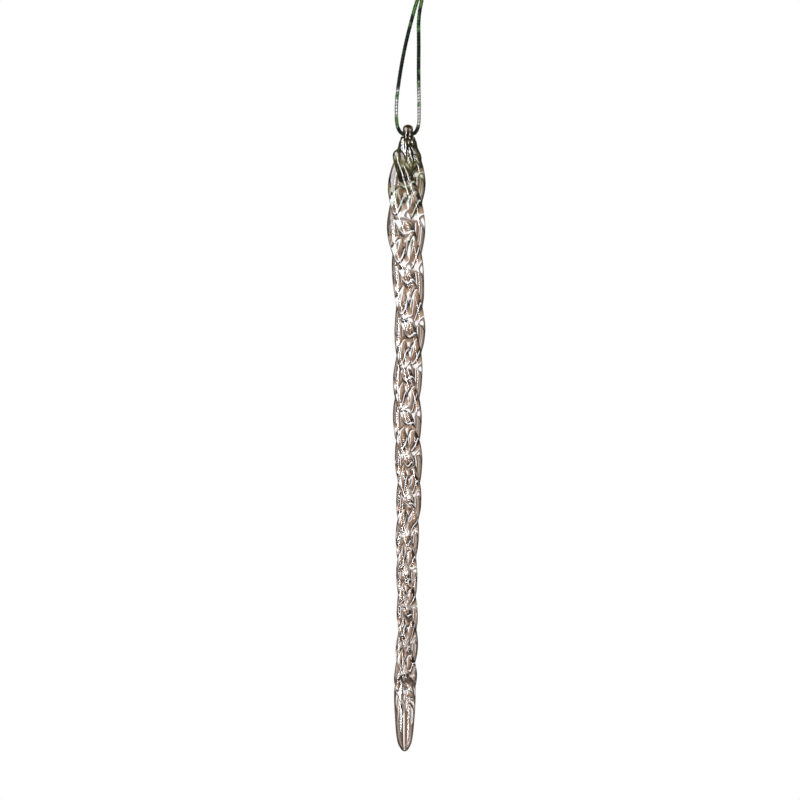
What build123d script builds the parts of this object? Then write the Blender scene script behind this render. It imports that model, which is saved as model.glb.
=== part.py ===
"""Icicle hanging ornament: four clear glass canes twisted into a tapering rope, on a metallic cord.

The canes grow out of a solid neck, which carries a small glass eye, and melt into a rounded tip.
One cord runs through the eye. Both of its strands are gathered in a knot, and above the knot they
open again into the small loop that goes over a hook.

Frame: millimetres, +Z up, +X to the right and +Y to the back. The origin is the inside top of the
hanging loop, the point that a hook carries.
"""

import os
from math import cos, exp, log, pi, radians, sin, tan

from build123d import *

# ---- driving dimensions: glass ----

GLASS_LENGTH = 165.0  # top of the eye to the end of the tip
GLASS_TOP_Z = -53.3
GLASS_X = -3.7  # the glass hangs this far to the left of the hook

# the eye: a ring of glass rod whose hole runs along X
EYE_HOLE_R = 0.95
EYE_ROD_R = 1.1

# the neck, from the eye down to the shoulder where the canes begin: half widths in X and Y
NECK_TOP = (1.75, 2.5)
NECK_MIDDLE = (2.5, 2.75)
NECK_START = 0.25  # below the eye's hole
SHOULDER_DEPTH = 6.9  # below the top of the eye

# the rope of four canes
CANES = 4
CANES_LENGTH = 147.4
FIRST_CANE_DEG = 31.0  # where cane 1 stands at the shoulder, from +X towards +Y
PROUD_CANE = 3  # this cane's rounded end stands out of the shoulder
PROUD_END_R = 1.4
PROUD_END_OUT = 3.6  # its middle, out from the rope's middle
PROUD_END_DROP = 1.45  # and below the shoulder
TWIST_PITCH = 56.0  # length of a full turn at the shoulder
PITCH_SHRINK = 0.16  # how much shorter a turn gets for each millimetre down
# (depth below the shoulder, outer radius of the rope)
ROPE_RADII = (
    (0.0, 3.2),
    (1.7, 4.2),
    (3.8, 4.6),
    (10.3, 5.1),
    (19.5, 5.1),
    (34.0, 4.2),
    (46.7, 4.15),
    (55.0, 3.9),
    (67.0, 3.9),
    (82.7, 3.65),
    (101.0, 3.2),
    (111.0, 2.9),
    (130.0, 2.85),
    (138.5, 3.05),
    (CANES_LENGTH, 2.75),
)
AXIS_LEAN = -0.0058  # the rope drifts this far in X for each millimetre down
# (depth below the shoulder, how far the rope bows out to the right of that lean)
BOW = ((0.0, 0.0), (24.0, 0.0), (50.0, 0.5), (105.0, 0.55), (CANES_LENGTH, 0.2))
WOBBLE_TOP, WOBBLE_END = 0.5, 0.12  # one side is fuller, so the rope's middle circles its axis
WOBBLE_DEG = 65.0
FUSE_GAP = 0.01  # half the gap left between neighbouring canes, and the gap around the ring
SHOULDER_SECTIONS = (0.0, 0.8, 1.7, 3.8)  # depths of the canes' first sections
SECTION_TURN = 30.0  # further down they are about this many degrees of twist apart

# the melted tip
TIP_LENGTH = GLASS_LENGTH - SHOULDER_DEPTH - CANES_LENGTH
TIP_SHIFT = -0.2  # the drop hangs a little to the left
TIP_TOP_SHARE = 0.93  # of the rope's outer radius
TIP_MIDDLE_R = 2.4
TIP_END_R = 1.8

# ---- driving dimensions: cord ----

CORD_DIAMETER = 1.0
KNOT_Z = -17.3
KNOT_R = 1.75
KNOT_GAP = 0.15  # clearance that lets the knot turn between the loop and the strands
TAIL_START = 0.5  # each cut end leaves the knot this far to the side of its middle
TAIL_REACH = (0.3, 2.0, 0.35)  # its first stretch: right, out, and up or down
TAIL_DROOP = (0.9, 1.4, -1.4)  # its second stretch: to the side, out and down
TAIL_BEND = 3.0
LOOP_HALF = 3.3  # half the width of the hanging loop
BEND_HALF = 2.9  # half the width of the bend that goes through the eye
CORD_IN_HOLE = 0.25  # the cord lies this far above the middle of the hole
SHARE_OF_SHORT_RUN = 0.45  # how much of its shorter run an arc of the cord takes up

# ---- worked out from these ----

SHOULDER_Z = GLASS_TOP_Z - SHOULDER_DEPTH
EYE_RING_R = EYE_HOLE_R + EYE_ROD_R
EYE_Z = GLASS_TOP_Z - EYE_RING_R - EYE_ROD_R
CORD_R = CORD_DIAMETER / 2
# A half circle of cord turns at three corners, 60 degrees each, that stand outside it.
CORNER = tan(radians(30))
CORNER_RISE = 2 * CORNER - 2 * SHARE_OF_SHORT_RUN * (1 / cos(radians(30)) - 1) / cos(radians(30))
LOOP_MID_Z = CORD_R - LOOP_HALF * CORNER_RISE
BEND_MID_Z = EYE_Z + CORD_IN_HOLE + BEND_HALF * CORNER_RISE

# Out of the knot, down on the left, through the eye and up again on the right.
STRAND_ROUTE = [
    (-0.85, 0.0, -19.2),
    (-2.35, 0.05, -24.2),
    (-4.55, -0.1, -32.9),
    (-6.15, 0.0, -42.0),
    (-6.85, 0.05, -48.4),
    (GLASS_X - BEND_HALF, 0.0, BEND_MID_Z - BEND_HALF * CORNER),
    (GLASS_X, 0.0, BEND_MID_Z - 2 * BEND_HALF * CORNER),
    (GLASS_X + BEND_HALF, 0.0, BEND_MID_Z - BEND_HALF * CORNER),
    (-0.75, -0.05, -48.0),
    (-0.93, 0.1, -39.8),
    (-0.84, -0.05, -31.4),
    (-0.97, 0.02, -24.9),
    (0.22, 0.0, -19.2),
]
# Out of the knot, round the hook and back.
LOOP_ROUTE = [
    (-0.6, 0.0, KNOT_Z + KNOT_R + KNOT_GAP),
    (-2.6, 0.15, -8.9),
    (-LOOP_HALF, 0.0, LOOP_MID_Z + LOOP_HALF * CORNER),
    (0.0, -0.1, LOOP_MID_Z + 2 * LOOP_HALF * CORNER),
    (LOOP_HALF, 0.0, LOOP_MID_Z + LOOP_HALF * CORNER),
    (2.5, 0.2, -9.2),
    (0.6, 0.0, KNOT_Z + KNOT_R + KNOT_GAP),
]


# ---- the twist ----


def turned(depth):
    """Degrees of twist from the shoulder down to that depth, as the pitch shrinks evenly."""
    return 360 / PITCH_SHRINK * log(TWIST_PITCH / (TWIST_PITCH - PITCH_SHRINK * depth))


def depth_at(degrees):
    """The depth below the shoulder where the canes have turned that far."""
    return TWIST_PITCH / PITCH_SHRINK * (1 - exp(-degrees * PITCH_SHRINK / 360))


def at_depth(stations, depth):
    """A value at that depth, in straight stretches between the stations."""
    for (depth_a, value_a), (depth_b, value_b) in zip(stations, stations[1:]):
        if depth <= depth_b:
            return value_a + (value_b - value_a) * (depth - depth_a) / (depth_b - depth_a)
    return stations[-1][1]


def rope_radius(depth):
    """The rope's outer radius."""
    return at_depth(ROPE_RADII, depth)


def rope_middle(depth):
    """X and Y of the rope's middle: its lean and bow, and the circling of its fuller side."""
    swell = min(depth / 10, 1.0)
    wobble = swell * (WOBBLE_TOP + (WOBBLE_END - WOBBLE_TOP) * depth / CANES_LENGTH)
    angle = radians(WOBBLE_DEG + turned(depth))
    axis_x = GLASS_X + AXIS_LEAN * (depth + SHOULDER_DEPTH) + at_depth(BOW, depth)
    return axis_x + wobble * cos(angle), wobble * sin(angle)


def outward(degrees):
    """The unit vector that points that way from the rope's middle."""
    return Vector(cos(radians(degrees)), sin(radians(degrees)))


def cane_section(depth, cane):
    """One cane's teardrop section: a round back and two walls that meet near the rope's middle."""
    outer = rope_radius(depth)
    offset = outer / (1 + sin(pi / CANES))
    half = 180 / CANES
    angle = FIRST_CANE_DEG + (cane - 1) * 2 * half + turned(depth)
    apex = Vector(*rope_middle(depth)) + outward(angle) * FUSE_GAP
    wall = offset * cos(pi / CANES)
    wall_end_a = apex + outward(angle - half) * wall
    wall_end_b = apex + outward(angle + half) * wall
    with BuildSketch(Plane.XY.offset(SHOULDER_Z - depth)) as section:
        with BuildLine():
            Line(apex, wall_end_a)
            ThreePointArc(wall_end_a, apex + outward(angle) * outer, wall_end_b)
            Line(wall_end_b, apex)
        make_face()
    return section.sketch


def proud_end():
    """The middle of the rounded end that stands out of the shoulder."""
    angle = FIRST_CANE_DEG + (PROUD_CANE - 1) * 360 / CANES + turned(PROUD_END_DROP)
    on_plane = Vector(*rope_middle(PROUD_END_DROP)) + outward(angle) * PROUD_END_OUT
    return on_plane + Vector(0, 0, SHOULDER_Z - PROUD_END_DROP)


def section_depths():
    """Where the canes' sections lie: close together at the shoulder, then evenly in the twist."""
    first = SHOULDER_SECTIONS[-1]
    sweep_deg = turned(CANES_LENGTH) - turned(first)
    steps = round(sweep_deg / SECTION_TURN)
    evenly = [depth_at(turned(first) + sweep_deg * i / steps) for i in range(1, steps)]
    return [*SHOULDER_SECTIONS, *evenly, CANES_LENGTH]


# ---- the cord's paths ----


def corner_radii(route):
    """The radius of each of the route's corners, as large as its two runs allow."""
    points = [Vector(*p) for p in route]
    radii = []
    for before, corner, after in zip(points, points[1:], points[2:]):
        run_in, run_out = corner - before, after - corner
        half_turn = radians(run_in.get_angle(run_out)) / 2
        radii.append(SHARE_OF_SHORT_RUN * min(run_in.length, run_out.length) / tan(half_turn))
    return radii


def print_tube(name, route, path, tube):
    """Report a tube's radii and length, and its volume over its section times its length."""
    length = sum(edge.length for edge in path.edges())
    share = tube.part.volume / (pi * CORD_R**2 * length)
    print(name, "radii", [round(r, 1) for r in corner_radii(route)])
    print(name, "length", round(length, 1), "volume share", round(share, 4))


os.makedirs("parts", exist_ok=True)

# ---- glass ----

eye_place = Location((GLASS_X, 0, EYE_Z), (0, 90, 0))
with BuildPart() as hanging_eye:
    with Locations(eye_place):
        Torus(EYE_RING_R, EYE_ROD_R)
hanging_eye.part.label = "hanging_eye"
export_step(hanging_eye.part, "parts/hanging_eye.step")

# The neck is fused around the lower half of the ring.
neck_top_z = EYE_Z - EYE_HOLE_R - NECK_START
with BuildPart() as neck:
    with BuildSketch(Plane.XY.offset(neck_top_z)):
        with Locations((GLASS_X, 0)):
            Ellipse(*NECK_TOP)
    with BuildSketch(Plane.XY.offset((neck_top_z + SHOULDER_Z) / 2)):
        with Locations((GLASS_X, 0)):
            Ellipse(*NECK_MIDDLE)
    with BuildSketch(Plane.XY.offset(SHOULDER_Z)):
        with Locations(rope_middle(0)):
            Circle(rope_radius(0))
    loft()
    with Locations(eye_place):
        Torus(EYE_RING_R, EYE_ROD_R + FUSE_GAP, mode=Mode.SUBTRACT)
neck.part.label = "neck"
export_step(neck.part, "parts/neck.step")

for number in range(1, CANES + 1):
    with BuildPart() as glass_cane:
        loft(sections=[cane_section(depth, number) for depth in section_depths()])
        if number == PROUD_CANE:
            with Locations(proud_end()):
                Sphere(PROUD_END_R)
    glass_cane.part.label = f"glass_cane_{number}"
    export_step(glass_cane.part, f"parts/glass_cane_{number}.step")

# The drop that the canes melt into.
canes_end_z = SHOULDER_Z - CANES_LENGTH
tip_x, tip_y = rope_middle(CANES_LENGTH)
tip_end_z = canes_end_z - TIP_LENGTH + TIP_END_R
with BuildPart() as drip_tip:
    with BuildSketch(Plane.XY.offset(canes_end_z)):
        with Locations((tip_x, tip_y)):
            Circle(rope_radius(CANES_LENGTH) * TIP_TOP_SHARE)
    with BuildSketch(Plane.XY.offset((canes_end_z + tip_end_z) / 2)):
        with Locations((tip_x + TIP_SHIFT / 2, tip_y)):
            Circle(TIP_MIDDLE_R)
    with BuildSketch(Plane.XY.offset(tip_end_z)):
        with Locations((tip_x + TIP_SHIFT, tip_y)):
            Circle(TIP_END_R)
    loft()
    with Locations((tip_x + TIP_SHIFT, tip_y, tip_end_z)):
        Sphere(TIP_END_R)
drip_tip.part.label = "drip_tip"
export_step(drip_tip.part, "parts/drip_tip.step")

# ---- cord ----

with BuildPart() as cord_strands:
    with BuildLine() as strand_path:
        FilletPolyline(*STRAND_ROUTE, radius=corner_radii(STRAND_ROUTE))
    with BuildSketch(Plane(origin=strand_path.line @ 0, z_dir=strand_path.line % 0)):
        Circle(CORD_R)
    sweep()
cord_strands.part.label = "cord_strands"
export_step(cord_strands.part, "parts/cord_strands.step")
print_tube("strands", STRAND_ROUTE, strand_path, cord_strands)

with BuildPart() as hanging_loop:
    with BuildLine() as loop_path:
        FilletPolyline(*LOOP_ROUTE, radius=corner_radii(LOOP_ROUTE))
    with BuildSketch(Plane(origin=loop_path.line @ 0, z_dir=loop_path.line % 0)):
        Circle(CORD_R)
    sweep()
hanging_loop.part.label = "hanging_loop"
export_step(hanging_loop.part, "parts/hanging_loop.step")
print_tube("loop", LOOP_ROUTE, loop_path, hanging_loop)

with BuildPart() as knot:
    with Locations((0, 0, KNOT_Z)):
        Sphere(KNOT_R)
knot.part.label = "knot"
export_step(knot.part, "parts/knot.step")

# The cord's two cut ends stand out of the front and the back of the knot.
with BuildPart() as cord_tails:
    for side in (-1, 1):
        start = Vector(TAIL_START * side, side * KNOT_R, KNOT_Z)
        right, out, rise = TAIL_REACH
        bend = start + Vector(right, side * out, side * rise)
        sideways, out, fall = TAIL_DROOP
        end = bend + Vector(side * sideways, side * out, fall)
        with BuildLine() as tail_path:
            FilletPolyline(start, bend, end, radius=TAIL_BEND)
        with BuildSketch(Plane(origin=tail_path.line @ 0, z_dir=tail_path.line % 0)):
            Circle(CORD_R)
        sweep(path=tail_path.line)
cord_tails.part.label = "cord_tails"
export_step(cord_tails.part, "parts/cord_tails.step")
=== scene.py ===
"""Looks of the icicle hanging ornament: clear twisted glass on a braided metallic cord.

Metres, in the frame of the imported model: +Z up, +X to the right, the origin in the hanging loop.
"""

from functools import partial
from math import cos, pi, radians, sin

import bpy
import numpy as np
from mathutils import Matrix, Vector


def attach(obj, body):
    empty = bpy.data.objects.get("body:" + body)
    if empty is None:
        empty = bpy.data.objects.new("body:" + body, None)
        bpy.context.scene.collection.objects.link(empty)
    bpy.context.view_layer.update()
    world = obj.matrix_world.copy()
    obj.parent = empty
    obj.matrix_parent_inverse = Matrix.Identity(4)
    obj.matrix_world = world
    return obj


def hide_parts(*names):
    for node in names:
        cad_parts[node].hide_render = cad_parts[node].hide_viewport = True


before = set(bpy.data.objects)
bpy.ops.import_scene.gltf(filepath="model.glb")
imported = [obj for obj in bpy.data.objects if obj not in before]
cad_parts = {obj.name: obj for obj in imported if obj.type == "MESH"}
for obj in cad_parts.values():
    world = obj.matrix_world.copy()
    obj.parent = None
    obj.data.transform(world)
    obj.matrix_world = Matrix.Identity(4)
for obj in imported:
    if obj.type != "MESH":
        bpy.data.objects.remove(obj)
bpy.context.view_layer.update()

MM = 0.001

# ---- sizes that repeat the design's, in metres ----

GLASS_X = -3.7 * MM
EYE_HOLE_R = 0.95 * MM
EYE_ROD_R = 1.1 * MM
EYE_THIN, EYE_WIDE = 0.93, 1.18  # the rod's section, across and along the hole
GLASS_TOP_Z = -53.3 * MM
GLASS_END_Z = GLASS_TOP_Z - 165.0 * MM
EYE_Z = GLASS_TOP_Z - EYE_HOLE_R - 2 * EYE_ROD_R
SHOULDER_Z = GLASS_TOP_Z - 6.9 * MM
CORD_D = 1.0 * MM
KNOT_Z = -17.3 * MM

# The cord's routes, as in the design: control points of smooth NURBS lines.
STRAND_ROUTE = [
    (-0.35, 0.0, -18.0),
    (-0.9, 0.0, -19.4),
    (-2.35, 0.05, -24.2),
    (-4.55, -0.1, -32.9),
    (-6.15, 0.0, -42.0),
    (-6.85, 0.05, -48.4),
    (-6.6, 0.0, -54.9),
    (-3.7, 0.0, -56.6),
    (-0.8, 0.0, -54.9),
    (-0.75, -0.05, -48.0),
    (-0.93, 0.1, -39.8),
    (-0.84, -0.05, -31.4),
    (-0.97, 0.02, -24.9),
    (0.22, 0.0, -19.4),
    (0.3, 0.0, -18.0),
]
LOOP_ROUTE = [
    (-0.35, 0.0, -16.6),
    (-0.6, 0.0, -15.2),
    (-2.6, 0.15, -8.9),
    (-3.3, 0.0, -0.93),
    (0.0, -0.1, 0.97),
    (3.3, 0.0, -0.93),
    (2.5, 0.2, -9.2),
    (0.6, 0.0, -15.2),
    (0.35, 0.0, -16.6),
]


# ---- camera ----

VIEW_WIDTH = 210.5 * MM  # what the picture takes in at the object
VIEW_MIDDLE = (-5.8 * MM, -125.8 * MM)
LENS = 100.0
SENSOR = 36.0


def make_camera():
    """A level camera in front of the ornament, as far off as the picture's width asks for."""
    data = bpy.data.cameras.new("camera")
    data.lens = LENS
    data.sensor_width = SENSOR
    data.dof.use_dof = False
    data.clip_start = 0.01
    camera = bpy.data.objects.new("camera", data)
    camera.location = (VIEW_MIDDLE[0], -VIEW_WIDTH * LENS / SENSOR, VIEW_MIDDLE[1])
    camera.rotation_euler = (pi / 2, 0, 0)
    bpy.context.scene.collection.objects.link(camera)
    bpy.context.scene.camera = camera


# ---- mesh helpers ----


def new_mesh(name, verts, faces):
    """A smooth-shaded mesh object in the scene."""
    mesh = bpy.data.meshes.new(name)
    mesh.from_pydata([tuple(v) for v in verts], [], [tuple(f) for f in faces])
    mesh.validate()
    mesh.shade_smooth()
    obj = bpy.data.objects.new(name, mesh)
    bpy.context.scene.collection.objects.link(obj)
    return obj


def grid_faces(rows, columns, first=0):
    """The quads of a tube of rows, each a closed ring of so many columns."""
    faces = []
    for r in range(rows - 1):
        for c in range(columns):
            a = first + r * columns + c
            b = first + r * columns + (c + 1) % columns
            faces.append((a, b, b + columns, a + columns))
    return faces


# ---- the twisted glass ----

CANES = 4
FIRST_CANE_DEG = 31.0
TWIST_PITCH = 56.0 * MM
PITCH_SHRINK = 0.16
CANES_LENGTH = 147.4 * MM
AXIS_LEAN = -0.0058
BOW = 0.55 * MM
WOBBLE_TOP, WOBBLE_END = 0.5 * MM, 0.12 * MM
WOBBLE_DEG = 65.0
# The rope's outline: (depth below the top of the eye, outer radius), both in mm
PROFILE = (
    (2.9, 1.5),
    (3.9, 1.85),
    (5.0, 2.3),
    (6.2, 2.85),
    (7.2, 3.6),
    (8.4, 4.2),
    (10.7, 4.6),
    (14.0, 4.9),
    (17.2, 5.1),
    (26.4, 5.15),
    (41.0, 4.2),
    (53.6, 4.15),
    (62.0, 3.85),
    (74.0, 3.85),
    (89.6, 3.6),
    (108.0, 3.15),
    (118.0, 2.85),
    (137.0, 2.8),
    (145.4, 3.0),
    (154.3, 2.65),
    (159.0, 2.42),
    (162.0, 2.05),
)
CANE_OFF, CANE_RAD = 0.568, 0.43  # shares of the outer radius
CANE_TOP = 4.7 * MM  # below the top of the eye, inside the neck
PROUD_CANE, PROUD_TOP = 3, 6.5 * MM  # this one ends in the open, at the shoulder
PROUD_OUT = 0.35  # its end stands this share further out
CANE_ENDS = (156.5 * MM, 154.0 * MM, 158.0 * MM, 155.0 * MM)  # inside the tip
NECK_DRAW = 0.12  # the other canes draw in by this share towards the neck
TIP_DRAW = 0.2  # and all of them inside the tip
EARLY_TURN = 0.22  # radians that the canes run ahead of the even twist near the shoulder
CANE_ROWS, CANE_SIDES = 900, 72
ROWS_TO_ENDS = 0.97  # how far the rows gather towards a cane's ends
# How uneven the hand-made canes are, as shares, and in radians for the twist.
UNEVEN_RADIUS, UNEVEN_OFF, UNEVEN_TURN = 0.05, 0.03, 0.06
LUMPS = 0.03  # lower down, where the rope is lumpier
FACET, LUMPY_FACET = 0.01, 0.032  # the flats round a cane, and their growth lower down
# The neck and the tip are turned shapes, closed inside the rope: (depth, radius) in mm.
NECK_PROFILE = (
    (3.05, 0.0),
    (3.1, 1.6),
    (3.35, 2.15),
    (4.0, 2.3),
    (5.2, 2.3),
    (6.2, 2.6),
    (7.2, 3.0),
    (8.2, 3.15),
    (10.0, 2.9),
    (12.0, 2.3),
    (14.0, 1.2),
    (15.0, 0.0),
)
TIP_PROFILE = (
    (144.6, 0.0),
    (144.7, 0.8),
    (145.4, 1.9),
    (147.0, 2.7),
    (149.0, 2.9),
    (152.0, 2.88),
    (154.3, 2.72),
    (159.0, 2.42),
    (162.0, 2.05),
    (163.6, 1.6),
    (164.6, 0.95),
    (165.0, 0.0),
)
TURNED_ROWS, TURNED_SIDES = 160, 144
CORNER_EASE = 1.2 * MM  # corners of the profiles are rounded over this much to each side
RIDGE_SWING = 0.4  # radians that the ridges wander


def turned(depth):
    """Radians of twist from the shoulder down to that depth below it."""
    rise = TWIST_PITCH / (TWIST_PITCH - PITCH_SHRINK * np.clip(depth, 0, CANES_LENGTH))
    steady = 2 * pi * np.minimum(depth, 0) / TWIST_PITCH
    return 2 * pi / PITCH_SHRINK * np.log(rise) + steady


def waves(depth, seed, shortest, longest, count=5):
    """A smooth random wave along the depth, between about -1 and 1."""
    rng = np.random.default_rng(seed)
    lengths = np.geomspace(shortest, longest, count) * rng.uniform(0.85, 1.2, count)
    phases = rng.uniform(0, 2 * pi, count)
    total = sum(np.sin(2 * pi * depth / l + p) for l, p in zip(lengths, phases))
    return total / np.sqrt(count / 2) / 1.6


def smooth(low, high, value):
    """0 below low, 1 above high, and an even S between them."""
    t = np.clip((value - low) / (high - low), 0, 1)
    return t * t * (3 - 2 * t)


def rounded(stations, from_top):
    """The radius at each depth of a profile, its corners eased but its ends kept."""
    places, radii = (np.array(stations) * MM).T
    room = np.minimum(from_top - places[0], places[-1] - from_top)
    ease = np.minimum(CORNER_EASE, room)
    shares = np.linspace(-1, 1, 9)
    return sum(np.interp(from_top + share * ease, places, radii) for share in shares) / 9


def rope_axis(depth):
    """Where the rope's middle runs, in x and y, at each depth below the shoulder.

    It leans and bows a little, and circles with the twist, because one side is fuller.
    """
    swell = np.clip(depth / (10 * MM), 0, 1)
    wobble = swell * (WOBBLE_TOP + (WOBBLE_END - WOBBLE_TOP) * depth / CANES_LENGTH)
    turn = radians(WOBBLE_DEG) + turned(depth)
    lean = AXIS_LEAN * (depth + GLASS_TOP_Z - SHOULDER_Z)
    bow = BOW * smooth(24 * MM, 58 * MM, depth) * (1 - 0.7 * smooth(105 * MM, 158 * MM, depth))
    return GLASS_X + lean + bow + wobble * np.cos(turn), wobble * np.sin(turn)


def closed_tube(name, x, y, z):
    """A closed surface through the rings of points, with a flat face at each end."""
    rows, sides = x.shape
    verts = np.stack([x, y, np.broadcast_to(z[:, None], x.shape)], axis=-1).reshape(-1, 3)
    faces = [tuple(reversed(f)) for f in grid_faces(rows, sides)]
    faces.append(tuple(range(sides)))
    faces.append(tuple(reversed(range((rows - 1) * sides, rows * sides))))
    return new_mesh(name, verts, faces)


def cane_ends(number):
    """How far below the top of the eye a cane starts and ends."""
    top = PROUD_TOP if number == PROUD_CANE else CANE_TOP
    return top, CANE_ENDS[number - 1]


def cane_depths(top, bottom):
    """Depths of a cane's rows, closer together towards its two ends."""
    share = np.linspace(0, 1, CANE_ROWS)
    near_end = np.exp(-6 * np.minimum(share, 1 - share))
    share = share - ROWS_TO_ENDS * np.sin(2 * pi * share) / (2 * pi) * near_end
    return top + (bottom - top) * share


def cane_radius(number, from_top, depth, outer, lumps):
    """A cane's uneven radius at each depth, closed to a dome at its top and a taper at its end."""
    top, bottom = cane_ends(number)
    radius = outer * CANE_RAD * (1 + UNEVEN_RADIUS * waves(depth, 10 + number, 22 * MM, 90 * MM))
    radius = radius * (1 + LUMPS * lumps * waves(depth, 60 + number, 5 * MM, 14 * MM))
    near_top = np.clip((from_top - top) / (0.9 * radius), 0, 1)
    near_bottom = np.clip((bottom - from_top) / (6 * radius), 0, 1)
    return radius * np.sqrt(1 - (1 - near_top) ** 2) * near_bottom**0.8 + 0.001 * MM


def cane_off(number, from_top, depth, outer):
    """How far a cane's middle stands out from the rope's middle at each depth."""
    off = outer * CANE_OFF * (1 + UNEVEN_OFF * waves(depth, 30 + number, 20 * MM, 80 * MM))
    if number == PROUD_CANE:
        return off * (1 + PROUD_OUT * smooth(15 * MM, PROUD_TOP, from_top))
    return off * (1 - NECK_DRAW * smooth(8.5 * MM, 5 * MM, from_top))


def cane_turn(number, depth):
    """Where round the rope a cane stands at each depth, in radians."""
    turn = radians(FIRST_CANE_DEG) + turned(depth) + (number - 1) * 2 * pi / CANES
    turn = turn + UNEVEN_TURN * waves(depth, 20 + number, 22 * MM, 90 * MM)
    return turn + EARLY_TURN * smooth(2 * MM, 16 * MM, depth) * smooth(50 * MM, 30 * MM, depth)


def make_cane(number):
    """One of the round canes that wind round each other, with rounded ends and soft flats."""
    from_top = cane_depths(*cane_ends(number))
    depth = from_top - (GLASS_TOP_Z - SHOULDER_Z)
    outer = rounded(PROFILE, from_top) * (1 - TIP_DRAW * smooth(149 * MM, 155 * MM, from_top))
    lumps = smooth(40 * MM, 110 * MM, depth)  # the lower half is lumpier
    radius = cane_radius(number, from_top, depth, outer, lumps)
    off = cane_off(number, from_top, depth, outer)
    turn = cane_turn(number, depth)
    mid_x, mid_y = rope_axis(depth)
    around = np.linspace(0, 2 * pi, CANE_SIDES, endpoint=False)
    three = 3 * around + 3 * waves(depth, 40 + number, 12 * MM, 60 * MM)[:, None]
    five = 5 * around + 3 * waves(depth, 50 + number, 9 * MM, 60 * MM)[:, None]
    facet = (FACET + LUMPY_FACET * lumps)[:, None]
    radius = radius[:, None] * (1 + facet * np.cos(three) + 0.2 * facet * np.cos(five))
    x = (mid_x + off * np.cos(turn))[:, None] + radius * np.cos(around)
    y = (mid_y + off * np.sin(turn))[:, None] + radius * np.sin(around)
    return closed_tube("twisted_cane_%d" % number, x, y, GLASS_TOP_Z - from_top)


def make_turned(name, stations, ridges, depth_of_ridge):
    """The neck or the tip: a turned shape with soft ridges down its side."""
    top, end = stations[0][0] * MM, stations[-1][0] * MM
    from_top = top + (end - top) * (1 - np.cos(np.linspace(0, pi, TURNED_ROWS))) / 2
    radius = rounded(stations, from_top)[:, None] + 0.001 * MM
    around = np.linspace(0, 2 * pi, TURNED_SIDES, endpoint=False)
    swing = RIDGE_SWING * waves(from_top, 81, 6 * MM, 20 * MM)[:, None]
    shape = sum(np.cos(k * around + swing + k) for k in ridges) / len(ridges)
    radius = radius * (1 + depth_of_ridge * shape)
    mid_x, mid_y = rope_axis(from_top - (GLASS_TOP_Z - SHOULDER_Z))
    x = mid_x[:, None] + radius * np.cos(around)
    y = mid_y[:, None] + radius * np.sin(around)
    return closed_tube(name, x, y, GLASS_TOP_Z - from_top)


def make_eye():
    """The ring of glass rod that the cord runs through, its rod a little uneven."""
    rings, sides = 96, 48
    verts = []
    for i in range(rings):
        a = 2 * pi * i / rings
        way = Vector((0, sin(a), cos(a)))
        rod = 1 + 0.05 * sin(a) + 0.04 * cos(2 * a)
        for j in range(sides):
            b = 2 * pi * j / sides
            out = EYE_HOLE_R + EYE_ROD_R + EYE_ROD_R * rod * cos(b) * EYE_THIN
            along = EYE_ROD_R * EYE_WIDE * rod * sin(b)
            verts.append(Vector((GLASS_X + along, 0, EYE_Z)) + way * out)
    faces = []
    for i in range(rings):
        for j in range(sides):
            a, b = i * sides + j, i * sides + (j + 1) % sides
            c, d = ((i + 1) % rings) * sides + (j + 1) % sides, ((i + 1) % rings) * sides + j
            faces.append((a, b, c, d))
    return new_mesh("glass_eye", verts, faces)


# ---- the braided cord ----

BRAID_THREADS = 4  # in each direction
BRAID_PITCH = 3.4 * MM
THREAD_R = 0.17 * MM
BRAID_STEP = 0.1 * MM
BRAID_CREST = 0.555  # half the braid's width over its crests, as a share of CORD_D
THREAD_FLAT = 0.6  # how flat the threads are pressed
WEAVE_LIFT = 0.07 * MM  # how far a thread rises over another
CORE_INSET = 0.06 * MM
THREAD_SIDES, CORE_SIDES = 8, 10
GLINT_FROM_Z = -54.5 * MM  # above this, and for some 10 mm, the bright threads carry a painted silvery highlight
BRIGHT_SIZE, DARK_SIZE = 0.72, 1.2  # of the threads, as shares of THREAD_R
FRAY = 0.8 * MM  # the length over which a cut end comes apart
TAIL_FRAY = 0.35 * MM  # how far its threads spread
FRAY_UNEVEN = 0.4  # by this share more or less from thread to thread
KNOT_RING, KNOT_WEAVE, KNOT_DEPTH = 0.8 * MM, 0.45 * MM, 0.8 * MM


def run_along(points):
    """The length of the line through the points, up to each of them."""
    steps = np.linalg.norm(np.diff(points, axis=0), axis=1)
    return np.concatenate([[0], np.cumsum(steps)])


def spline_points(route, step):
    """Points along the NURBS line of a route in mm, evenly spaced, in metres."""
    curve = bpy.data.curves.new("route", "CURVE")
    curve.dimensions = "3D"
    spline = curve.splines.new("NURBS")
    spline.points.add(len(route) - 1)
    for point, place in zip(spline.points, route):
        point.co = (*[c * MM for c in place], 1)
    spline.order_u = 3
    spline.use_endpoint_u = True
    curve.resolution_u = 24
    obj = bpy.data.objects.new("route", curve)
    mesh = bpy.data.meshes.new_from_object(obj)
    dense = np.array([v.co[:] for v in mesh.vertices])
    bpy.data.objects.remove(obj)
    bpy.data.meshes.remove(mesh)
    run = run_along(dense)
    count = int(run[-1] / step) + 1
    even = np.linspace(0, run[-1], count)
    return np.stack([np.interp(even, run, dense[:, k]) for k in range(3)], axis=1)


def frames_along(points):
    """Unit tangents and two normals at each point, turning as little as possible."""
    tangents = np.gradient(points, axis=0)
    tangents /= np.linalg.norm(tangents, axis=1)[:, None]
    side = np.cross(tangents[0], (0, 1, 0))
    sides = []
    for tangent in tangents:
        side = side - tangent * np.dot(side, tangent)
        side = side / np.linalg.norm(side)
        sides.append(side)
    sides = np.array(sides)
    return tangents, sides, np.cross(tangents, sides)


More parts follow.
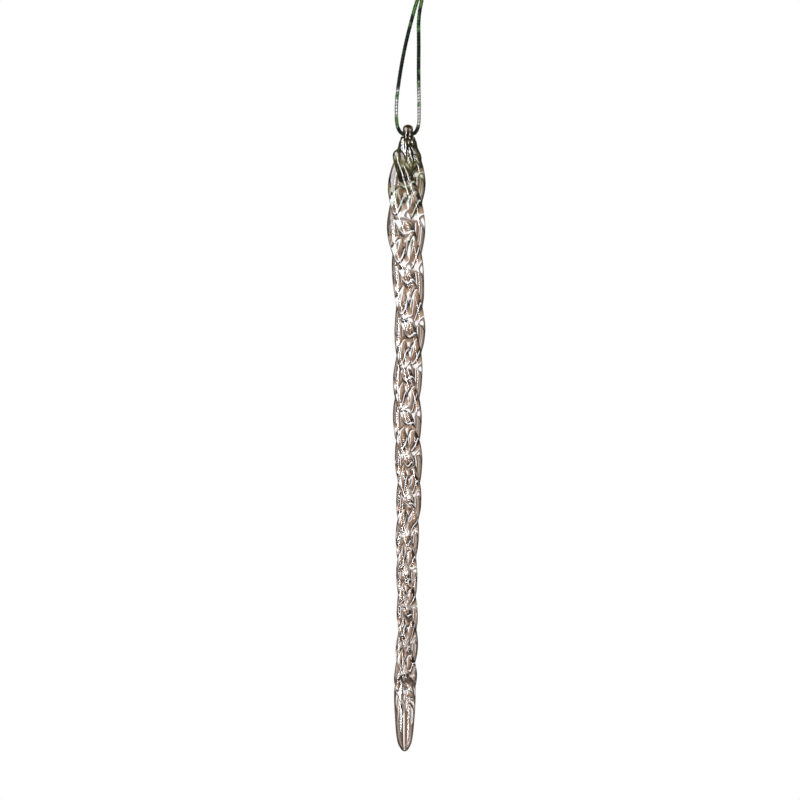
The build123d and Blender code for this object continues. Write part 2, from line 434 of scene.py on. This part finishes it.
def tube_verts(points, radius, sides, squash=1.0, outward=None):
    """The rings of a round or flattened tube along the points."""
    tangents, side, up = frames_along(points)
    if outward is not None:
        side = outward - tangents * np.sum(outward * tangents, axis=1)[:, None]
        side /= np.linalg.norm(side, axis=1)[:, None]
        up = np.cross(tangents, side)
    angle = np.linspace(0, 2 * pi, sides, endpoint=False)
    ring = (
        side[:, None, :] * (radius * squash * np.cos(angle))[None, :, None]
        + up[:, None, :] * (radius * np.sin(angle))[None, :, None]
    )
    return (points[:, None, :] + ring).reshape(-1, 3)


def make_braid(name, points, frayed=0.0):
    """A round braid along the points: two sets of threads that cross over and under.

    Where frayed is above 0, the threads spread that much further out at the last point.
    """
    run = run_along(points)
    _, side, up = frames_along(points)
    omega = 2 * pi / BRAID_PITCH
    middle = CORD_D * BRAID_CREST - THREAD_R * THREAD_FLAT
    verts, faces, shade = [], [], []
    for way in (1, -1):
        for thread in range(BRAID_THREADS):
            angle = way * omega * run + 2 * pi * thread / BRAID_THREADS
            reach = middle - WEAVE_LIFT + way * WEAVE_LIFT * np.cos(BRAID_THREADS * omega * run)
            loose = np.clip(1 - (run[-1] - run) / FRAY, 0, 1)
            reach = reach + frayed * loose**2 * (1 + FRAY_UNEVEN * way * (-1) ** thread)
            out = side * np.cos(angle)[:, None] + up * np.sin(angle)[:, None]
            path = points + out * reach[:, None]
            first = len(verts)
            size = BRIGHT_SIZE if way > 0 else DARK_SIZE
            tube = tube_verts(path, THREAD_R * size, THREAD_SIDES, THREAD_FLAT / size, out)
            verts += tube.tolist()
            last = len(verts) - THREAD_SIDES
            faces += grid_faces(len(path), THREAD_SIDES, first)
            faces.append(tuple(range(first, first + THREAD_SIDES)))
            faces.append(tuple(reversed(range(last, len(verts)))))
            shade += [1.0 if way > 0 else 0.0] * len(tube)
    first = len(verts)
    core = tube_verts(points, middle - CORE_INSET, CORE_SIDES)
    verts += core.tolist()
    faces += grid_faces(len(points), CORE_SIDES, first)
    shade += [0.0] * len(core)
    obj = new_mesh(name, verts, faces)
    attribute = obj.data.attributes.new("thread", "FLOAT", "POINT")
    attribute.data.foreach_set("value", shade)
    return obj


def make_knot():
    """A tight overhand knot: the braid along a three-lobed knot that faces the front."""
    t = np.linspace(0, 2 * pi, 360)
    out = KNOT_RING + KNOT_WEAVE * np.cos(3 * t)
    x, y, z = out * np.cos(2 * t), KNOT_DEPTH * np.sin(3 * t), out * np.sin(2 * t) + KNOT_Z
    return make_braid("overhand_knot", np.stack([x, y, z], axis=1))


def make_tails():
    """The cord's two cut ends, which stand out of the knot and fray."""
    ends = []
    for side in (-1, 1):
        route = [  # in mm, from inside the knot outwards
            (0.2 * side, 0.6 * side, -17.3),
            (0.5 * side, 1.75 * side, -17.3),
            (0.5 * side + 0.3, 3.75 * side, -17.3 + 0.35 * side),
            (1.4 * side + 0.3, 5.1 * side, -18.6 + 0.35 * side),
        ]
        ends.append(make_braid("tail", spline_points(route, BRAID_STEP), frayed=TAIL_FRAY))
    with bpy.context.temp_override(active_object=ends[0], selected_editable_objects=ends):
        bpy.ops.object.join()
    ends[0].name = "frayed_tails"
    return ends[0]


# ---- materials ----


def node_material(name):
    """A new material with its node tree and its Principled shader."""
    material = bpy.data.materials.new(name)
    material.use_nodes = True
    tree = material.node_tree
    return material, tree, tree.nodes["Principled BSDF"]


def ramp_node(tree, value, stops):
    """A colour ramp of the value with the given (position, colour) stops."""
    node = tree.nodes.new("ShaderNodeValToRGB")
    elements = node.color_ramp.elements
    while len(elements) < len(stops):
        elements.new(0.5)
    for element, (position, colour) in zip(elements, stops):
        element.position = position
        element.color = (*colour, 1)
    tree.links.new(value, node.inputs[0])
    return node.outputs[0]


def noise_node(tree, place, scale, detail):
    """Smooth noise at the place."""
    node = tree.nodes.new("ShaderNodeTexNoise")
    node.inputs["Scale"].default_value = scale
    node.inputs["Detail"].default_value = detail
    tree.links.new(place, node.inputs["Vector"])
    return node.outputs[0]


def range_node(tree, value, low, high, to_low=0.0, to_high=1.0):
    """The value, which runs from low to high, made to run from to_low to to_high."""
    node = tree.nodes.new("ShaderNodeMapRange")
    ends = (("From Min", low), ("From Max", high), ("To Min", to_low), ("To Max", to_high))
    for socket, number in ends:
        node.inputs[socket].default_value = number
    tree.links.new(value, node.inputs["Value"])
    return node.outputs[0]


def math_node(tree, operation, *values, clamp=False):
    """The result of one operation on numbers and sockets."""
    node = tree.nodes.new("ShaderNodeMath")
    node.operation = operation
    node.use_clamp = clamp
    for socket, value in zip(node.inputs, values):
        if isinstance(value, (int, float)):
            socket.default_value = value
        else:
            tree.links.new(value, socket)
    return node.outputs[0]


def mix_node(tree, factor, first, second):
    """The first colour where the factor is 0, the second where it is 1; tuples or sockets."""
    node = tree.nodes.new("ShaderNodeMix")
    node.data_type = "RGBA"
    tree.links.new(factor, node.inputs[0])
    for socket, value in ((node.inputs[6], first), (node.inputs[7], second)):
        if isinstance(value, tuple):
            socket.default_value = (*value, 1)
        else:
            tree.links.new(value, socket)
    return node.outputs[2]


def place_and_height(tree):
    """The place on the object, and its z."""
    place = tree.nodes.new("ShaderNodeTexCoord").outputs["Object"]
    split = tree.nodes.new("ShaderNodeSeparateXYZ")
    tree.links.new(place, split.inputs[0])
    return place, split.outputs["Z"]


REFLECTED_GREEN_DEPTH = 38 * MM  # the painted green reflection ends about this far down
# Painted reflection: these pale, olive-green and tan tints stand in for green surroundings seen
# through the glass.
GREEN_REFLECTION_TINTS = [
    (0.47, (0.98, 0.97, 0.96)),
    (0.53, (0.88, 0.92, 0.92)),
    (0.57, (0.50, 0.55, 0.38)),
    (0.62, (0.48, 0.52, 0.35)),
    (0.68, (0.82, 0.84, 0.77)),
    (0.75, (0.76, 0.73, 0.60)),
]
# Painted shade: a dark olive-brown that stands in for the dark surroundings that the eye shows.
EYE_PAINTED_SHADE = (0.20, 0.15, 0.065)
GLASS_ROUGH, EYE_ROUGHER = 0.01, 0.06


def glass_material():
    """Clear glass with painted olive-green reflections that thin out down the first quarter."""
    material, tree, shader = node_material("clear_glass")
    shader.inputs["Transmission Weight"].default_value = 1.0
    shader.inputs["IOR"].default_value = 1.5
    place, z = place_and_height(tree)
    # Painted reflection: greener towards the top, where the glass shows green surroundings.
    greener = range_node(tree, z, GLASS_TOP_Z - REFLECTED_GREEN_DEPTH, GLASS_TOP_Z, -0.24, 0.26)
    uneven = math_node(tree, "ADD", noise_node(tree, place, 260.0, 1.0), greener)
    painted_reflection = ramp_node(tree, uneven, GREEN_REFLECTION_TINTS)
    # 1 in the eye, whose glass is rougher and carries painted shade, a dark olive-brown
    in_eye = range_node(tree, z, GLASS_TOP_Z - 3.6 * MM, GLASS_TOP_Z - 2.4 * MM)
    dulled = math_node(tree, "MULTIPLY_ADD", in_eye, EYE_ROUGHER, GLASS_ROUGH)
    tree.links.new(dulled, shader.inputs["Roughness"])
    tree.links.new(mix_node(tree, in_eye, painted_reflection, EYE_PAINTED_SHADE), shader.inputs["Base Color"])
    return material


DARK_THREAD = (0.003, 0.004, 0.003)
# Painted highlight: the silvery white of the bright threads near the eye stands in for glints of
# light on the metallic cord.
GLINT_PATCHES = [
    (0.30, (0.85, 0.85, 0.83)),
    (0.57, (0.85, 0.85, 0.82)),
    (0.60, (0.08, 0.28, 0.04)),
]
GREEN_PATCHES = [
    (0.52, (0.002, 0.004, 0.002)),
    (0.57, (0.012, 0.040, 0.008)),
    (0.62, (0.04, 0.115, 0.025)),
    (0.69, (0.07, 0.08, 0.03)),
]
# Where up the cord the bright threads carry the painted silvery highlight: 1 there, 0 elsewhere.
GLINT_ZONE = [(0.0, (0, 0, 0)), (0.06, (1, 1, 1)), (0.34, (1, 1, 1)), (0.6, (0, 0, 0))]
GLINT_REACH = 24 * MM  # the height that the zone's shares are of


def cord_material():
    """Metallic threads: black with painted silvery highlights low down, black and green patches
    above.
    """
    material, tree, shader = node_material("metallic_cord")
    thread = tree.nodes.new("ShaderNodeAttribute")
    thread.attribute_name = "thread"
    place, z = place_and_height(tree)
    patches = noise_node(tree, place, 400.0, 2.0)
    height = range_node(tree, z, GLINT_FROM_Z, GLINT_FROM_Z + GLINT_REACH)
    uneven = math_node(tree, "MULTIPLY_ADD", patches, 4.0, -2.5)
    zone = ramp_node(tree, height, GLINT_ZONE)
    share = math_node(tree, "MULTIPLY_ADD", zone, 2.0, uneven, clamp=True)
    # The painted silvery highlight on the bright threads.
    painted_glint = ramp_node(tree, patches, GLINT_PATCHES)
    green = ramp_node(tree, patches, GREEN_PATCHES)
    low_down = mix_node(tree, thread.outputs["Fac"], DARK_THREAD, painted_glint)
    colour = mix_node(tree, share, green, low_down)
    tree.links.new(colour, shader.inputs["Base Color"])
    shader.inputs["Metallic"].default_value = 0.3
    shader.inputs["Roughness"].default_value = 0.4
    shader.inputs["Specular IOR Level"].default_value = 0.12
    return material


# ---- the room and the light ----

WINDOW = (1.3, 1.3, 1.35)
SHEET = (1.4, 1.4, 1.45)
LAMP = (21, 21, 22)
# The room that the glass shows: the scale of its blotches, their (noise, colour) stops, and
# panels on top, each (azimuth and half width in degrees, lowest and highest z, colour).
MIRRORED = (
    2.0,
    [(0.35, (0.01, 0.009, 0.007)), (0.65, (0.10, 0.075, 0.055))],
    (
        (150, 8, -0.5, -0.12, LAMP),
        (150, 8, 0.0, 0.5, LAMP),
        (173, 4, -0.2, 0.25, (18, 18, 19)),
        (-134, 9, -0.35, 0.6, LAMP),
        (-88, 10, 0.15, 0.45, (3, 3, 3.3)),
        (-110, 50, 0.55, 0.95, (9, 9, 9.8)),
        (120, 30, 0.6, 0.95, (7, 7, 7.5)),
        (170, 8, -0.95, -0.7, (9, 9, 9)),
    ),
)
THROUGH_ONE = (
    2.6,
    [
        (0.38, (0.010, 0.008, 0.006)),
        (0.43, (0.10, 0.065, 0.045)),
        (0.49, (0.25, 0.145, 0.085)),
        (0.545, (0.31, 0.215, 0.155)),
        (0.55, WINDOW),
        (0.558, WINDOW),
        (0.564, (0.04, 0.034, 0.03)),
        (0.60, (0.28, 0.23, 0.20)),
        (0.67, (0.36, 0.29, 0.24)),
        (0.68, WINDOW),
    ],
    (
        (-62, 26, -1.0, 1.0, (0.15, 0.095, 0.065)),
        (62, 26, -1.0, 1.0, (0.13, 0.085, 0.06)),
        (-100, 16, -1.0, 1.0, (0.02, 0.015, 0.011)),
        (100, 16, -1.0, 1.0, (0.02, 0.015, 0.011)),
        (0, 20, -0.5, 0.5, (0.22, 0.14, 0.095)),
        (5, 3.6, -0.6, 0.6, SHEET),
        (12, 4, -0.6, 0.6, (0.02, 0.016, 0.012)),
        (-12, 3.6, -0.6, 0.3, (0.85, 0.74, 0.66)),
    ),
)
THROUGH_MORE = (
    1.1,
    [
        (0.435, (0.010, 0.007, 0.005)),
        (0.45, (0.16, 0.10, 0.07)),
        (0.50, (0.42, 0.265, 0.17)),
        (0.55, (0.58, 0.44, 0.345)),
        (0.560, WINDOW),
        (0.576, WINDOW),
        (0.584, (0.04, 0.034, 0.03)),
        (0.62, (0.40, 0.31, 0.25)),
        (0.65, (0.46, 0.37, 0.31)),
        (0.66, (1.25, 1.25, 1.3)),
    ],
    (
        (0, 179, 0.6, 1.1, (0.14, 0.10, 0.075)),
        (0, 179, -1.1, -0.6, (0.14, 0.10, 0.075)),
        (-85, 12, -1.0, 1.0, (0.02, 0.015, 0.011)),
        (85, 12, -1.0, 1.0, (0.02, 0.015, 0.011)),
        (3, 9, 0.0, 0.4, (0.28, 0.18, 0.12)),
        (6, 7, -0.4, -0.12, (0.012, 0.009, 0.007)),
        (-14, 3.6, -0.6, 0.6, SHEET),
        (-21, 4.5, -0.6, 0.6, (0.012, 0.009, 0.007)),
        (28, 3.6, -0.6, 0.6, SHEET),
        (35, 4.5, -0.6, 0.6, (0.012, 0.009, 0.007)),
    ),
)
BLOTCH_DETAIL = 1.5
PANEL_EDGE = 0.06  # how softly a panel's edges fade, in radians or in z


def make_world():
    """White to the camera and to matt surfaces; a warm room with windows to the glass."""
    world = bpy.data.worlds.new("room")
    bpy.context.scene.world = world
    world.use_nodes = True
    tree = world.node_tree
    calc, mix = partial(math_node, tree), partial(mix_node, tree)
    direction = tree.nodes.new("ShaderNodeTexCoord").outputs["Generated"]
    split = tree.nodes.new("ShaderNodeSeparateXYZ")
    tree.links.new(direction, split.inputs[0])
    # 0 is behind the ornament, + to the right
    azimuth = calc("ARCTAN2", split.outputs["X"], split.outputs["Y"])

    def band(value, low, high):
        up = calc("MULTIPLY", calc("SUBTRACT", value, low), 1 / PANEL_EDGE, clamp=True)
        down = calc("MULTIPLY", calc("SUBTRACT", high, value), 1 / PANEL_EDGE, clamp=True)
        return calc("MULTIPLY", up, down)

    def room(scale, stops, panels):
        colour = ramp_node(tree, noise_node(tree, direction, scale, BLOTCH_DETAIL), stops)
        for az, half_az, low, high, tone in panels:
            across = band(azimuth, radians(az) - radians(half_az), radians(az) + radians(half_az))
            panel = calc("MULTIPLY", across, band(split.outputs["Z"], low, high))
            colour = mix(panel, colour, tone)
        return colour

    # What the outside of the glass mirrors, what is seen straight through one cane,
    # and what is seen through several of them.
    mirrored, through_one, through_more = (
        room(*which) for which in (MIRRORED, THROUGH_ONE, THROUGH_MORE)
    )
    path = tree.nodes.new("ShaderNodeLightPath")
    crossed = path.outputs["Transmission Depth"]
    glassy = calc("MAXIMUM", path.outputs["Is Glossy Ray"], path.outputs["Is Transmission Ray"])
    inside = mix(calc("GREATER_THAN", crossed, 2.5), through_one, through_more)
    seen = mix(calc("GREATER_THAN", crossed, 0.5), mirrored, inside)
    background = tree.nodes["Background"].inputs["Color"]
    tree.links.new(mix(glassy, (1.0, 1.0, 1.0), seen), background)


def make_floor():
    """A plain pale floor below the tip, which the glass neither shows nor mirrors."""
    bpy.ops.mesh.primitive_plane_add(size=0.9, location=(0, -0.3, GLASS_END_Z - 0.05))
    floor = bpy.context.object
    floor.name = "floor"
    floor.visible_transmission = False
    floor.visible_glossy = False
    material, _, shader = node_material("floor")
    shader.inputs["Base Color"].default_value = (0.9, 0.9, 0.9, 1)
    shader.inputs["Roughness"].default_value = 0.9
    floor.data.materials.append(material)


def make_light(name, place, size, power):
    """A soft square lamp that points at the middle of the ornament."""
    data = bpy.data.lights.new(name, "AREA")
    data.size = size
    data.energy = power
    lamp = bpy.data.objects.new(name, data)
    lamp.location = place
    aim = Vector((0, 0, -0.13)) - Vector(place)
    lamp.rotation_euler = aim.to_track_quat("-Z", "Y").to_euler()
    lamp.visible_transmission = False
    bpy.context.scene.collection.objects.link(lamp)


make_camera()
make_world()
make_floor()
make_light("key", (-0.5, -0.6, 0.4), 0.3, 4.0)
make_light("fill", (0.6, -0.5, 0.1), 0.4, 2.0)

glass = glass_material()
cord = cord_material()

strand_points = spline_points(STRAND_ROUTE, BRAID_STEP)
strands = make_braid("braided_strands", strand_points)
strands.data.materials.append(cord)
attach(strands, "strands")
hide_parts("cord_strands")

loop_points = spline_points(LOOP_ROUTE, BRAID_STEP)
loop = make_braid("braided_loop", loop_points)
loop.data.materials.append(cord)
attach(loop, "hanger")
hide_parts("hanging_loop")

for piece, node in ((make_knot(), "knot"), (make_tails(), "cord_tails")):
    piece.data.materials.append(cord)
    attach(piece, "knot")
    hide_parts(node)

pieces = [(make_cane(number), "glass_cane_%d" % number) for number in range(1, CANES + 1)]
pieces.append((make_turned("ridged_neck", NECK_PROFILE, (5, 9), 0.07), "neck"))
pieces.append((make_turned("smooth_tip", TIP_PROFILE, (3, 4), 0.035), "drip_tip"))
pieces.append((make_eye(), "hanging_eye"))
for piece, node in pieces:
    piece.data.materials.append(glass)
    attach(piece, "icicle")
    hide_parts(node)

bpy.context.scene.view_settings.view_transform = "Standard"
